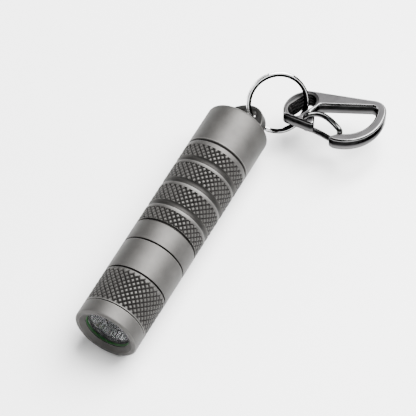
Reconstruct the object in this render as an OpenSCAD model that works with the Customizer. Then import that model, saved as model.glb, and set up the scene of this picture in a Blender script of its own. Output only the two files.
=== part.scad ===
// Keychain flashlight with a round knurled barrel, an arched key tab, a split ring and a snap clip.
// The optical axis lies along Y: the lens faces -Y, the key tab points to +Y, and +Z is up.
// The light lies on its side, with its origin on the axis, halfway along the smooth part of the head.

/* [Barrel] */
// Outside diameter of head, tube and tail cap
barrel_d = 17.5; // [17.4:0.1:18.2]
// From the origin forward to the front rim
front_len = 19.9; // [19.9:0.1:21]
// From the origin back to the seam between head and tube
seam_y = 4.76; // [4.5:0.01:5]
// From the origin back to the seam between tube and tail cap
tail_seam_y = 39.04; // [38.8:0.01:39.2]
// From the origin back to the flat end of the tail cap
tail_end_y = 51.8; // [51.6:0.1:53]
// Depth of the turned grooves
groove_depth = 0.6; // [0.3:0.05:0.7]

/* [Cell] */
// Diameter of the cell in its wrapper
cell_d = 14.2; // [13.8:0.1:14.2]
// Length of the cell, contact button included
cell_len = 49.4; // [49:0.1:49.4]

/* [Screwed joints] */
// Diameter over the two male threads of the tube
thread_d = 15.9; // [15.7:0.05:15.95]
// Length of the front threaded neck
front_neck = 8; // [7:0.5:8]
// Length of the rear threaded neck
rear_neck = 5; // [4:0.5:5.5]
// Radial clearance of every running fit
run_gap = 0.05; // [0.02:0.01:0.08]

/* [Front end] */
// Diameter of the clear window inside the bezel lip
window_d = 12.4; // [12:0.1:12.6]
// Diameter of the dished rim around the window
dish_d = 15.2; // [14.5:0.1:15.4]
// Diameter of the reflector's mouth
mouth_d = 11.7; // [11.2:0.1:12]

/* [Key tab] */
// Radius of the arched tab
tab_r = 7.8; // [7.4:0.1:8]
// Thickness of the tab
tab_t = 2.5; // [2:0.1:2.8]
// Lean of the tab away from upright
tab_lean = 27.3; // [0:0.1:45]
// Width of the key slot
slot_w = 4.3; // [4:0.1:4.4]
// Distance between the two end centres of the key slot
slot_span = 4; // [3.6:0.1:4.2]

/* [Split ring] */
// Middle radius of the coil
ring_r = 7.77; // [7.6:0.01:7.9]
// Width of the wire, across the coil
ring_wire_w = 1.2; // [1:0.05:1.3]
// Height of one turn of wire
ring_wire_h = 0.75; // [0.6:0.05:0.8]

/* [Snap clip] */
// Thickness of the clip plate
clip_t = 4.3; // [4:0.1:4.4]
// Outside radius of the bow
bow_r = 11.2; // [11:0.05:11.4]
// Width of the bow
bow_w = 2.5; // [2.2:0.05:2.6]
// Diameter of the gate wire
gate_d = 1.5; // [1.2:0.05:1.5]

/* [Hidden] */
$fn = 96;

barrel_r = barrel_d / 2;
edge = 0.25;
seam_gap = 0.04;

// Head, from the front face backwards
front_y = -front_len;
rim_round = 1;
gasket_y = front_y + 1.25;
gasket_t = 0.6;
gasket_bore_r = 6.02;
glass_y = gasket_y + gasket_t;
glass_t = 1.2;
mouth_y = glass_y + glass_t;
led_board_t = 1.4;
shelf_y = -10;
shelf_t = 1.6;
led_board_y = shelf_y - led_board_t;
led_spacer_t = 0.9;
reflector_end_y = led_board_y - led_spacer_t;
bezel_y = -15.66;
bezel_neck_end = -12.4;
bezel_thread_r = 7.5;
optic_r = 6.9;
pill_r = 6.95;
driver_y = shelf_y + shelf_t + 0.2;
driver_t = 1.2;
driver_ring_y = driver_y + driver_t;
driver_ring_t = 1;
head_groove_y = -4.73;
head_groove_w = 0.6;
chamber_y = -4.3;
lead_x = 4.6;
lead_r = 0.45;
lead_play = 0.15;
post_r = 2.6;
post_tip_r = 2;

// Tube
tube_bore_r = cell_d / 2 + 0.1;
thread_r = thread_d / 2;
neck_front_y = seam_y - front_neck;
neck_rear_y = tail_seam_y + rear_neck;
female_r = thread_r + run_gap;
oring_wire_r = 0.24;
oring_groove_r = 7.5;
oring_groove_w = 0.7;
head_oring_y = seam_y - 1.5;
tail_oring_y = tail_seam_y + 1.3;
fine_groove_y = 11.24;
fine_groove_w = 0.75;
fine_groove_depth = groove_depth * 0.7;
cove_ys = [17.3, 25.1, 32.66];
cove_w = 1.75;

// Cell
cell_front_y = -5;
button_h = 1;
button_r = 2.9;
button_round = 0.3;
can_y = cell_front_y + button_h;
can_end_y = cell_front_y + cell_len;
wrapper_t = 0.1;
can_r = cell_d / 2 - wrapper_t - 0.02;
insulator_t = 0.25;
socket_y = 2.2;
socket_w = 9;
socket_h = 3.2;
socket_deep = 2.4;
socket_top = 6.75;

// Tail
board_y = 47.6;
board_t = 0.9;
chamber_end_y = board_y + board_t;
tail_round = 1.1;
tab_base_y = tail_end_y - 0.9;
slot_y = tab_base_y + 3.95;

// Split ring: centre, and the turns that tip its axis away from upright
ring_centre = [6.55, 61.28, 3.47];
ring_axis = [0.525, -0.6, 0.604];
ring_tip = acos(ring_axis[2] / norm(ring_axis));
ring_turn = atan2(ring_axis[1], ring_axis[0]);

// Snap clip: pivot on the ring, and the outline's centres and corners seen from that pivot
clip_pivot = [13.05, 65.07, 1.25];
clip_turn = 18;
bow_centre = [10, 0.4];
bow_in = bow_r - bow_w;
eye_centre = [-0.95, -0.75];
eye_turn = 48.2;
eye_r = 2.15;
eye_chamfer = 0.55;
eye_half = 2.2;
eye_lean = 0.9;
bow_corner = 3.3;
gate_pivot = [0.6, -5];
gate_bar = [10.1, -8.1];
gate_arch = [[3.8, -3.1], [5.9, -3.6]];
gate_sag = [[3.2, -4.4], [6.6, -6.9]];
gate_bend = 0.85;
gate_r = gate_d / 2;
gate_leg_z = clip_t / 2 + gate_r + 0.06;
gate_pin_len = 2.2;
gate_bar_play = 0.15;
nose_angle = -100;

// A turned piece: the outline is a list of [radius, place along the axis]
module turned(outline) {
    rotate([-90, 0, 0]) rotate_extrude() polygon(outline);
}

// A plain disc or tube along the axis
module sleeve(y, length, r, bore = 0) {
    turned([[bore, y], [r, y], [r, y + length], [bore, y + length]]);
}

// Outline points of a turned groove with sloped sides, from its front edge to its rear edge
function groove(y, width, depth) = [
    [barrel_r, y - width / 2],
    [barrel_r - depth, y - width / 2 + min(depth, width / 3) * 0.7],
    [barrel_r - depth, y + width / 2 - min(depth, width / 3) * 0.7],
    [barrel_r, y + width / 2]];

// Points on an arc, both ends included
function arc(centre, r, from, to, steps = 12) =
    [for (i = [0 : steps]) let (a = from + (to - from) * i / steps)
        centre + r * [cos(a), sin(a)]];

// The skin of a wire: path is a list of [x, y, z, heading], where heading is its direction seen from above
module wire(path, r, sides = 16) {
    last = len(path) - 1;
    function place(i) = [path[i][0], path[i][1], path[i][2]];
    function along(i) = let (d = place(min(i + 1, last)) - place(max(i - 1, 0))) d / norm(d);
    function across(i) = [-sin(path[i][3]), cos(path[i][3]), 0];
    points = [for (i = [0 : last]) for (k = [0 : sides - 1]) let (a = 360 * k / sides)
        place(i) + r * (cos(a) * across(i) + sin(a) * cross(along(i), across(i)))];
    skin = [for (i = [0 : last - 1]) for (k = [0 : sides - 1]) let (n = (k + 1) % sides)
        [i * sides + k, i * sides + n, (i + 1) * sides + n, (i + 1) * sides + k]];
    start = [[for (k = [0 : sides - 1]) sides - 1 - k]];
    end = [[for (k = [0 : sides - 1]) last * sides + k]];
    polyhedron(points, concat(skin, start, end), convexity = 8);
}

// Head body

module head_shell() {
    color("gainsboro") difference() {
        turned(concat(
            [[bezel_thread_r, bezel_y + seam_gap], [barrel_r - edge, bezel_y + seam_gap],
                [barrel_r, bezel_y + seam_gap + edge]],
            groove(head_groove_y, head_groove_w, fine_groove_depth),
            [[barrel_r, seam_y - edge], [barrel_r - edge, seam_y], [female_r, seam_y],
                [female_r, chamber_y], [pill_r, chamber_y], [pill_r, shelf_y + shelf_t],
                [0, shelf_y + shelf_t], [0, shelf_y], [pill_r, shelf_y],
                [pill_r, bezel_neck_end + 0.1], [bezel_thread_r, bezel_neck_end + 0.1]]));
        for (side = [-1, 1]) translate([side * lead_x, shelf_y - 1, 0])
            rotate([-90, 0, 0]) cylinder(h = shelf_t + 2, r = lead_r + lead_play, $fn = 32);
    }
}

module bezel_ring() {
    land_r = dish_d / 2;
    rounding = arc([barrel_r - rim_round, front_y + rim_round], rim_round, -90, 0, 6);
    color("silver") turned(concat(
        [[land_r, front_y]], rounding,
        [[barrel_r, bezel_y - edge], [barrel_r - edge, bezel_y], [bezel_thread_r - 0.05, bezel_y],
            [bezel_thread_r - 0.05, bezel_neck_end], [optic_r + 0.05, bezel_neck_end],
            [optic_r + 0.05, gasket_y], [window_d / 2, gasket_y], [window_d / 2, front_y + 0.9]]));
}

module front_glass() {
    color("lightcyan", 0.4) sleeve(glass_y + 0.01, glass_t - 0.02, optic_r - 0.05);
}

module lens_gasket() {
    color("limegreen") sleeve(gasket_y, gasket_t, optic_r - 0.05, gasket_bore_r);
}

// The reflector's bowl is a parabola from the mouth to the hole around the emitter
module reflector() {
    throat_r = 2.3;
    depth = reflector_end_y - mouth_y;
    bowl = [for (i = [0 : 12]) let (s = 1 - i / 12)
        [throat_r + (mouth_d / 2 - throat_r) * sqrt(s), mouth_y + depth * (1 - s)]];
    color("white") turned(concat(
        [[optic_r - 0.1, mouth_y + 0.01]], [for (p = bowl) [p[0], max(p[1], mouth_y + 0.01)]],
        [[4.2, reflector_end_y], [6.2, mouth_y + 1.6], [optic_r - 0.1, mouth_y + 1]]));
}

module led_spacer() {
    hole = 3.7;
    color("ivory") difference() {
        sleeve(reflector_end_y + 0.01, led_spacer_t - 0.02, 4.1);
        translate([-hole / 2, reflector_end_y - 1, -hole / 2]) cube([hole, led_spacer_t + 2, hole]);
    }
}

module led_emitter() {
    size = 3.45;
    package_t = 0.7;
    color("gold") {
        translate([-size / 2, led_board_y - package_t, -size / 2]) cube([size, package_t, size]);
        difference() {
            translate([0, led_board_y - package_t, 0]) sphere(r = 1.3, $fn = 48);
            translate([-2, led_board_y - package_t / 2, -2]) cube([4, 4, 4]);
        }
    }
}

module led_board() {
    color("lightgrey") sleeve(led_board_y + 0.005, led_board_t - 0.01, pill_r - 0.1);
}

// One insulated lead through the shelf, on the given side
module lead(side) {
    translate([side * lead_x, shelf_y, 0])
        rotate([-90, 0, 0]) cylinder(h = driver_y - shelf_y - 0.01, r = lead_r, $fn = 32);
}

module positive_lead() {
    color("red") lead(1);
}

module negative_lead() {
    color("black") lead(-1);
}

module driver_board() {
    color("darkgreen") sleeve(driver_y, driver_t, pill_r - 0.1);
}

module driver_ring() {
    notch = 1.6;
    color("goldenrod") difference() {
        sleeve(driver_ring_y + 0.01, driver_ring_t, pill_r - 0.02, 5.6);
        translate([-pill_r - 1, driver_ring_y + 0.4, -notch / 2])
            cube([2 * pill_r + 2, driver_ring_t, notch]);
    }
}

module contact_post() {
    color("gold") turned([[0, driver_ring_y + 0.01], [post_r, driver_ring_y + 0.01],
        [post_r, driver_ring_y + 0.6], [post_tip_r, cell_front_y - 0.05], [0, cell_front_y - 0.05]]);
}

// Tube body

module body_tube() {
    color("darkgrey") turned(concat(
        [[tube_bore_r, neck_front_y], [thread_r - edge, neck_front_y],
            [thread_r, neck_front_y + edge],
            [thread_r, head_oring_y - oring_groove_w / 2],
            [oring_groove_r, head_oring_y - oring_groove_w / 2],
            [oring_groove_r, head_oring_y + oring_groove_w / 2],
            [thread_r, head_oring_y + oring_groove_w / 2],
            [thread_r, seam_y + seam_gap], [barrel_r - edge, seam_y + seam_gap],
            [barrel_r, seam_y + seam_gap + edge]],
        groove(fine_groove_y, fine_groove_w, fine_groove_depth),
        [for (y = cove_ys) each groove(y, cove_w, groove_depth)],
        [[barrel_r, tail_seam_y - 2 * edge], [barrel_r - edge, tail_seam_y],
            [thread_r, tail_seam_y],
            [thread_r, tail_oring_y - oring_groove_w / 2],
            [oring_groove_r, tail_oring_y - oring_groove_w / 2],
            [oring_groove_r, tail_oring_y + oring_groove_w / 2],
            [thread_r, tail_oring_y + oring_groove_w / 2],
            [thread_r, neck_rear_y - edge], [thread_r - edge, neck_rear_y],
            [tube_bore_r, neck_rear_y]]));
}

// A seal lying in its groove, given by its place along the axis
module oring(y) {
    translate([0, y, 0]) rotate([-90, 0, 0]) rotate_extrude()
        translate([oring_groove_r + oring_wire_r, 0]) circle(r = oring_wire_r, $fn = 24);
}

module head_oring() {
    color("black") oring(head_oring_y);
}

module tail_oring() {
    color("black") oring(tail_oring_y);
}

// Cell

// Outline of the charging socket, standing on the cell's axis side and open towards +Z
module socket_block(extra) {
    translate([-socket_w / 2 - extra, socket_y - socket_h / 2 - extra, socket_top - socket_deep - extra])
        cube([socket_w + 2 * extra, socket_h + 2 * extra, socket_deep + extra + 2]);
}

module cell_can() {
    color("silver") difference() {
        sleeve(can_y + insulator_t + 0.01, cell_len - button_h - insulator_t - 0.01, can_r);
        socket_block(0.05);
    }
}

module cell_wrapper() {
    color("white") difference() {
        sleeve(can_y + insulator_t + 0.3, cell_len - button_h - insulator_t - 1, cell_d / 2,
            cell_d / 2 - wrapper_t);
        socket_block(0.05);
    }
}

module cell_insulator() {
    color("whitesmoke") sleeve(can_y, insulator_t, can_r, button_r + 0.2);
}

module cell_button() {
    color("gold") turned([[0, cell_front_y], [button_r - button_round, cell_front_y],
        [button_r, cell_front_y + button_round], [button_r, can_y + insulator_t], [0, can_y + insulator_t]]);
}

module usb_socket() {
    wall = 0.3;
    color("dimgrey") difference() {
        translate([-socket_w / 2, socket_y - socket_h / 2, socket_top - socket_deep])
            cube([socket_w, socket_h, socket_deep - 1.4]);
        translate([-socket_w / 2 + wall, socket_y - socket_h / 2 + wall, socket_top - socket_deep + wall])
            cube([socket_w - 2 * wall, socket_h - 2 * wall, socket_deep]);
    }
}

// Tail body

// A coil that narrows from the board to the cell
module tail_spring() {
    turns = 2.5;
    wire_r = 0.3;
    steps = 20;
    sides = 8;
    last = turns * steps;
    y_board = board_y - wire_r - 0.02;
    y_cell = can_end_y + wire_r + 0.02;
    function centre_r(i) = 5 - 2.4 * i / last;
    function centre_y(i) = y_board + (y_cell - y_board) * i / last;
    points = [for (i = [0 : last]) for (k = [0 : sides - 1])
        let (a = 360 * i / steps, b = 360 * k / sides, r = centre_r(i) + wire_r * cos(b))
            [r * cos(a), centre_y(i) + wire_r * sin(b), r * sin(a)]];
    skin = [for (i = [0 : last - 1]) for (k = [0 : sides - 1]) let (n = (k + 1) % sides)
        [i * sides + k, i * sides + n, (i + 1) * sides + n, (i + 1) * sides + k]];
    front = [[for (k = [0 : sides - 1]) sides - 1 - k]];
    back = [[for (k = [0 : sides - 1]) last * sides + k]];
    color("gold") polyhedron(points, concat(skin, front, back), convexity = 6);
}

// The tab is an arched plate that crosses the whole end of the cap
module key_tab() {
    rotate([0, -tab_lean, 0]) difference() {
        translate([0, tab_base_y, -tab_t / 2]) cylinder(h = tab_t, r = tab_r);
        translate([-tab_r - 1, tab_base_y - tab_r - 1, -tab_t]) cube([2 * tab_r + 2, tab_r + 1, 2 * tab_t]);
        for (side = [-1, 1]) translate([side * slot_span / 2, slot_y, -tab_t])
            cylinder(h = 2 * tab_t, r = slot_w / 2);
        translate([-slot_span / 2, slot_y - slot_w / 2, -tab_t])
            cube([slot_span, slot_w, 2 * tab_t]);
    }
}

module tail_cap() {
    start_y = tail_seam_y + seam_gap;
    rounding = arc([barrel_r - tail_round, tail_end_y - tail_round], tail_round, 0, 90, 6);
    color("gainsboro") union() {
        turned(concat(
            [[female_r, start_y], [barrel_r - edge, start_y], [barrel_r, start_y + 2 * edge]],
            rounding,
            [[0, tail_end_y], [0, chamber_end_y], [pill_r, chamber_end_y],
                [pill_r, neck_rear_y + 0.4], [female_r, neck_rear_y + 0.4]]));
        key_tab();
    }
}

module tail_board() {
    color("darkgreen") sleeve(board_y, board_t - 0.01, pill_r - 0.1);
}

module tail_board_ring() {
    color("goldenrod") sleeve(board_y - 0.91, 0.9, pill_r - 0.02, 5.9);
}

// Two turns of flat wire, one on the other, round a ring whose axis leans
module split_ring() {
    half_w = ring_wire_w / 2;
    half_h = ring_wire_h / 2;
    corner = 0.25;
    color("lightsteelblue") translate(ring_centre) rotate([0, ring_tip, ring_turn])
        rotate_extrude() for (side = [-1, 1]) translate([ring_r, side * (half_h - 0.02)])
            polygon(concat(
                arc([half_w - corner, half_h - corner], corner, 0, 90, 4),
                arc([corner - half_w, half_h - corner], corner, 90, 180, 4),
                arc([corner - half_w, corner - half_h], corner, 180, 270, 4),
                arc([half_w - corner, corner - half_h], corner, 270, 360, 4)));
}

// Places the clip's pieces on the ring
module on_clip() {
    translate(clip_pivot) rotate([0, 0, clip_turn]) children();
}

// The clip plate: an eye block, a straight spine, a bow and an open nose
function clip_outline() = concat(
    arc([0.85, -2.8], 6.5, 180, 92, 12),
    arc([bow_centre[0] + bow_r - bow_corner, bow_centre[1]], bow_corner, 90, 8, 8),
    arc(bow_centre, bow_r, 0, nose_angle + 3, 24),
    arc(bow_centre + (bow_r - 0.9) * [cos(nose_angle), sin(nose_angle)], 0.7, -100, -190, 4),
    arc(bow_centre, bow_in, nose_angle + 8, 0, 22),
    arc([bow_centre[0] + bow_in - 1.3, 0.4], 1.3, 6, 90, 6),
    arc([4.7, -2], 2, 92, 150, 5),
    [[1.9, -2.4], [1.6, -3.6], [2.9, -4.2]],
    arc([2.2, -5.9], 0.8, 10, -100, 5),
    arc([-4.3, -3.75], 1.2, -110, -170, 4));

// A long hole through the clip plate, chamfered at both faces, whose far wall leans in towards the bottom
module eye_cutter() {
    face = clip_t / 2;
    over = 0.2;
    steps = 16;
    count = 2 * steps + 2;
    // Each level is [height, radius, shift towards the near wall]
    levels = [
        [-face - over, eye_r - eye_lean + eye_chamfer + over, eye_lean],
        [eye_chamfer - face, eye_r - eye_lean, eye_lean],
        [face - eye_chamfer, eye_r, 0],
        [face + over, eye_r + eye_chamfer + over, 0]];
    points = [for (level = levels) for (end = [1, -1])
        for (p = arc([end * eye_half, -level[2]], level[1], -90 * end, -90 * end + 180, steps))
            [p[0], p[1], level[0]]];
    last = len(levels) - 1;
    skin = [for (i = [0 : last - 1]) for (k = [0 : count - 1]) let (n = (k + 1) % count)
        [i * count + n, i * count + k, (i + 1) * count + k, (i + 1) * count + n]];
    bottom = [[for (k = [0 : count - 1]) k]];
    top = [[for (k = [0 : count - 1]) last * count + count - 1 - k]];
    translate(eye_centre) rotate([0, 0, eye_turn])
        polyhedron(points, concat(skin, bottom, top), convexity = 4);
}

module clip_body() {
    color("dimgrey") on_clip() difference() {
        translate([0, 0, -clip_t / 2]) linear_extrude(clip_t) polygon(clip_outline());
        eye_cutter();
        translate([gate_pivot[0], gate_pivot[1], -clip_t])
            cylinder(h = 2 * clip_t, r = gate_r + run_gap, $fn = 48);
        translate([gate_bar[0], gate_bar[1], -clip_t])
            cylinder(h = 2 * clip_t, r = gate_r + gate_bar_play, $fn = 48);
    }
}

// A smooth run in plan, pulled by the two middle points, with the heading at each place
function run(p, steps = 14) =
    [for (i = [0 : steps]) let (
        t = i / steps,
        u = 1 - t,
        place = u * u * u * p[0] + 3 * u * u * t * p[1] + 3 * u * t * t * p[2] + t * t * t * p[3],
        d = u * u * (p[1] - p[0]) + 2 * u * t * (p[2] - p[1]) + t * t * (p[3] - p[2]))
            [place[0], place[1], atan2(d[1], d[0])]];

// One leg of the gate at height z, from its pin in the clip to the start of the closing bar
function gate_leg(pull, z) =
    let (
        way = run([gate_pivot, pull[0], pull[1], gate_bar]),
        last = len(way) - 1,
        side = sign(z),
        first_dir = [cos(way[0][2]), sin(way[0][2])],
        last_dir = [cos(way[last][2]), sin(way[last][2])])
    concat(
        [[way[0][0], way[0][1], z - side * gate_pin_len, way[0][2]]],
        [for (a = [0 : 22.5 : 90]) let (p = gate_bend * (1 - cos(a)) * first_dir)
            [way[0][0] + p[0], way[0][1] + p[1], z - side * gate_bend * (1 - sin(a)), way[0][2]]],
        [for (i = [2 : last - 2]) [way[i][0], way[i][1], z, way[i][2]]],
        [for (a = [0 : 22.5 : 90]) let (p = -gate_bend * (1 - sin(a)) * last_dir)
            [way[last][0] + p[0], way[last][1] + p[1], z - side * gate_bend * (1 - cos(a)), way[last][2]]]);

// The gate is one bent wire: a pin and an arched leg above, the closing bar, a straighter leg and a pin below
module clip_gate() {
    upper = gate_leg(gate_arch, gate_leg_z);
    lower = gate_leg(gate_sag, -gate_leg_z);
    color("grey") on_clip() wire(concat(upper, [for (i = [len(lower) - 1 : -1 : 0]) lower[i]]), gate_r);
}

head_shell();
bezel_ring();
front_glass();
lens_gasket();
reflector();
led_spacer();
led_emitter();
led_board();
positive_lead();
negative_lead();
driver_board();
driver_ring();
contact_post();
body_tube();
head_oring();
tail_oring();
cell_can();
cell_wrapper();
cell_insulator();
cell_button();
usb_socket();
tail_spring();
tail_cap();
tail_board();
tail_board_ring();
split_ring();
clip_body();
clip_gate();
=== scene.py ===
"""The looks of the keychain flashlight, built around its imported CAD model.

The frame is the CAD frame: the optical axis lies along Y, the lens faces -Y, the key tab points to +Y and +Z
is up. Pieces are measured in millimetres until their mesh is made, and the floor and the lights in metres.
"""

import math

import bmesh
import bpy
from mathutils import Matrix, Vector, geometry


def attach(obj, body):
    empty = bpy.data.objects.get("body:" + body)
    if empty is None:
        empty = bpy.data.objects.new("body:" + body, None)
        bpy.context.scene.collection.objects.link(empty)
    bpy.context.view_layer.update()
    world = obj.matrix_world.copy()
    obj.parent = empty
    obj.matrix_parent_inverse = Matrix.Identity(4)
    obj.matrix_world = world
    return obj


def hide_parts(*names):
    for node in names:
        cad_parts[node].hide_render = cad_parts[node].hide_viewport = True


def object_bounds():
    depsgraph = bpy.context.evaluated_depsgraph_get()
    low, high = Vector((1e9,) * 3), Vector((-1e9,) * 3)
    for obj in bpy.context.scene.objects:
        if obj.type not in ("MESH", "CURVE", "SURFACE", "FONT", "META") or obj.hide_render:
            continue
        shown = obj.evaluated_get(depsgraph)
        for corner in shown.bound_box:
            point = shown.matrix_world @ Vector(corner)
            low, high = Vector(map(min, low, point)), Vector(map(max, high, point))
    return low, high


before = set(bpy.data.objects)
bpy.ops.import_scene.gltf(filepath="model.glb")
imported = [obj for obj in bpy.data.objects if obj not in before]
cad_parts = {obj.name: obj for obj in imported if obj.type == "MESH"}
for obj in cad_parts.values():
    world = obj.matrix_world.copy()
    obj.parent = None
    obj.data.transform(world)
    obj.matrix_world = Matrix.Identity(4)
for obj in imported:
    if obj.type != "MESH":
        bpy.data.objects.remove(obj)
cad_low, cad_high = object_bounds()

MM = 0.001
TAU = 2 * math.pi

# ---------------------------------------------------------------- camera


def make_camera():
    """A long lens above the right-hand front of the light."""
    data = bpy.data.cameras.new("camera")
    data.sensor_width = 36
    data.lens = 240.6
    data.clip_start, data.clip_end = 0.05, 20
    camera = bpy.data.objects.new("camera", data)
    camera.location = Vector((190.4, -323.1, 596.5)) * MM
    elevation, azimuth = 56.5, 28.02
    camera.rotation_euler = (math.radians(90 - elevation), 0, math.radians(azimuth))
    bpy.context.scene.collection.objects.link(camera)
    bpy.context.scene.camera = camera


make_camera()

# ---------------------------------------------------------------- sizes shared by several pieces

BARREL = 8.75  # outside radius of head, tube and cap
FRONT, CAP_END = -19.9, 51.8  # the two flat ends of the light, along the axis
BEZEL_SEAM, HEAD_SEAM, TAIL_SEAM = -15.66, 4.76, 39.04  # front ends of the seams between the four shells
SEAM_GAP = 0.04
BEZEL_BORE = 7.5  # the bore in the head that takes the bezel's neck
BORE = 8.0  # the bores in head and cap that take the tube's threads
CHAMBER = 6.95  # the bores that take the glass and the boards
THREAD_R = 7.95
THREAD_PITCH = 1.0
THREAD_DEPTH = 0.38
SEAL_R = 7.5  # bottom of the tube's two seal grooves
KNURL_STARTS = 35
KNURL_PITCH = 1.65  # along the axis
KNURL_DEPTH = 0.36
KNURL_FLANK = 1 / 3  # half width of a cut, as a share of the pitch
KNURL_STEPS = 12  # mesh points for each cut, both ways
COARSE = 140  # facets round a plain turned surface
FINE = KNURL_STEPS * KNURL_STARTS  # facets round a knurled surface
DUST_AND_SHADE = -1.2  # relief of an open seam or a narrow groove, darkest there: dust and painted shade

# ---------------------------------------------------------------- materials


class Nodes:
    """A short way to write a node material.

    Every value that is even over the surface goes straight on the shader's socket."""

    def __init__(self, name):
        self.material = bpy.data.materials.new(name)
        self.material.use_nodes = True
        self.tree = self.material.node_tree
        self.shader = self.tree.nodes["Principled BSDF"]
        self.place = self.add("ShaderNodeTexCoord").outputs["Object"]

    def add(self, kind, **settings):
        node = self.tree.nodes.new(kind)
        for key, value in settings.items():
            setattr(node, key, value)
        return node

    def link(self, source, target):
        self.tree.links.new(source, target)

    def put(self, socket, value):
        self.shader.inputs[socket].default_value = value

    def noise(self, scale, detail=2.0, roughness=0.5):
        """A noise value from 0 to 1. scale is in features per metre."""
        node = self.add("ShaderNodeTexNoise")
        node.inputs["Scale"].default_value = scale
        node.inputs["Detail"].default_value = detail
        node.inputs["Roughness"].default_value = roughness
        self.link(self.place, node.inputs["Vector"])
        return node.outputs["Fac"]

    def spread(self, value, low, high, start=0.3, end=0.7):
        """value between start and end, moved to between low and high."""
        node = self.add("ShaderNodeMapRange")
        for name, number in (("From Min", start), ("From Max", end), ("To Min", low), ("To Max", high)):
            node.inputs[name].default_value = number
        self.link(value, node.inputs["Value"])
        return node.outputs["Result"]

    def blend(self, fac, first, second):
        """A colour from first to second as fac goes from 0 to 1."""
        node = self.add("ShaderNodeMix", data_type="RGBA")
        self.link(fac, node.inputs["Factor"])
        for socket, colour in ((node.inputs[6], first), (node.inputs[7], second)):
            if isinstance(colour, tuple):
                socket.default_value = (*colour, 1)
            else:
                self.link(colour, socket)
        return node.outputs[2]

    def calc(self, kind, first, second, clamp=False):
        """The result of a math node, from values or numbers."""
        node = self.add("ShaderNodeMath", operation=kind, use_clamp=clamp)
        for socket, value in ((node.inputs[0], first), (node.inputs[1], second)):
            if isinstance(value, (int, float)):
                socket.default_value = value
            else:
                self.link(value, socket)
        return node.outputs[0]

    def relief(self, start, end):
        """The mesh's relief, below 0 in a cut and above 0 on an edge, as 0 to 1 from start to end."""
        node = self.add("ShaderNodeAttribute", attribute_name="relief")
        return self.spread(node.outputs["Fac"], 0, 1, start, end)

    def bump(self, height, strength, distance):
        """Bumps of the given height value. distance is in millimetres."""
        node = self.add("ShaderNodeBump")
        node.inputs["Strength"].default_value = strength
        node.inputs["Distance"].default_value = distance * MM
        self.link(height, node.inputs["Height"])
        self.link(node.outputs["Normal"], self.shader.inputs["Normal"])

    def colour(self, source):
        self.link(source, self.shader.inputs["Base Color"])

    def rough(self, source):
        self.link(source, self.shader.inputs["Roughness"])


def blasted_titanium(name="blasted_titanium", dark=(0.056, 0.054, 0.052), light=(0.074, 0.072, 0.069)):
    """Bead-blasted grey metal: fine grain, cuts darkened with dust and painted shade, and edges brightened
    with wear and a painted highlight.
    """
    n = Nodes(name)
    n.put("Metallic", 1.0)
    cloudy = n.spread(n.noise(260, 3), 0, 1)
    grain = n.spread(n.noise(5200, 2, 0.7), 0, 1, 0.35, 0.65)
    tint = n.blend(cloudy, dark, light)
    speckled = n.blend(n.calc("MULTIPLY", grain, 0.30, clamp=True), tint, tuple(c * 1.7 for c in light))
    # cuts and seams go dark: dust and painted shade
    dust_and_shade_tint = n.blend(n.relief(-0.15, -1.0), speckled, (0.010, 0.0095, 0.009))
    # edges and lips go bright: wear and a painted highlight
    toned = n.blend(n.calc("MULTIPLY", n.relief(0.2, 1.0), 0.6, clamp=True), dust_and_shade_tint, (0.30, 0.295, 0.285))
    n.colour(toned)
    n.rough(n.spread(grain, 0.54, 0.68, 0, 1))
    n.bump(n.noise(7000, 3, 0.65), 0.35, 0.02)
    return n.material


def polished_steel():
    """Tumbled, nickel-plated wire: glossy and rubbed, with painted shade, near black in colour and
    reflection, where the mesh marks it.
    """
    n = Nodes("polished_steel")
    n.put("Metallic", 1.0)
    toned = n.blend(n.spread(n.noise(900, 4, 0.6), 0, 1), (0.90, 0.90, 0.90), (0.78, 0.78, 0.79))
    # painted shade: the colour and the reflection's tint go near black where the mesh marks it
    wire_shade = n.relief(-0.1, -0.6)
    n.colour(n.blend(wire_shade, toned, (0.003, 0.003, 0.003)))
    n.link(n.blend(wire_shade, (1.0, 1.0, 1.0), (0.08, 0.08, 0.08)), n.shader.inputs["Specular Tint"])
    n.rough(n.spread(n.noise(2600, 3, 0.6), 0.10, 0.22))
    n.bump(n.noise(1800, 3, 0.5), 0.10, 0.01)
    return n.material


def satin_nickel():
    """The clip's flat faces: black nickel over a satin finish, brightened along the edges with wear and a
    painted highlight.
    """
    n = Nodes("satin_nickel")
    n.put("Metallic", 1.0)
    cloudy = n.spread(n.noise(420, 3), 0, 1)
    base = n.blend(cloudy, (0.038, 0.037, 0.038), (0.052, 0.0505, 0.052))
    # edges brightened: wear and a painted highlight
    n.colour(n.blend(n.relief(0.1, 1.0), base, (0.60, 0.59, 0.59)))
    n.rough(n.spread(n.noise(3800, 3, 0.6), 0.54, 0.68))
    n.bump(n.noise(4200, 3, 0.6), 0.16, 0.012)
    return n.material


def gloss_nickel(name, dark, light, wear_and_sheen=(0.20, 0.198, 0.20), gloss=(0.09, 0.20), ridge=0):
    """Polished black nickel, as on the clip's sides and its gate.

    dark and light are the tints of the plating; the argument after them is the colour that the relief brings
    in, wear and a painted highlight on edges and a painted reflection low on a wall; and ridge is the pitch
    of level ridges on a wall, in millimetres."""
    n = Nodes(name)
    n.put("Metallic", 1.0)
    n.put("Specular Tint", (0.35, 0.35, 0.35, 1))
    patchy = n.spread(n.noise(700, 4, 0.6), 0, 1)
    base = n.blend(patchy, dark, light)
    # the relief brightens edges, as wear and a painted highlight, and the lower half of a wall, as a painted
    # reflection
    n.colour(n.blend(n.relief(0.1, 1.0), base, wear_and_sheen))
    n.rough(n.spread(n.noise(2400, 3, 0.6), *gloss))
    if ridge:
        split = n.add("ShaderNodeSeparateXYZ")
        n.link(n.place, split.inputs["Vector"])
        turns = n.calc("MULTIPLY", split.outputs["Z"], TAU / (ridge * MM))
        n.bump(n.calc("SINE", turns, 0), 0.9, 0.06)
    else:
        n.bump(n.noise(1500, 3, 0.5), 0.12, 0.012)
    return n.material


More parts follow.
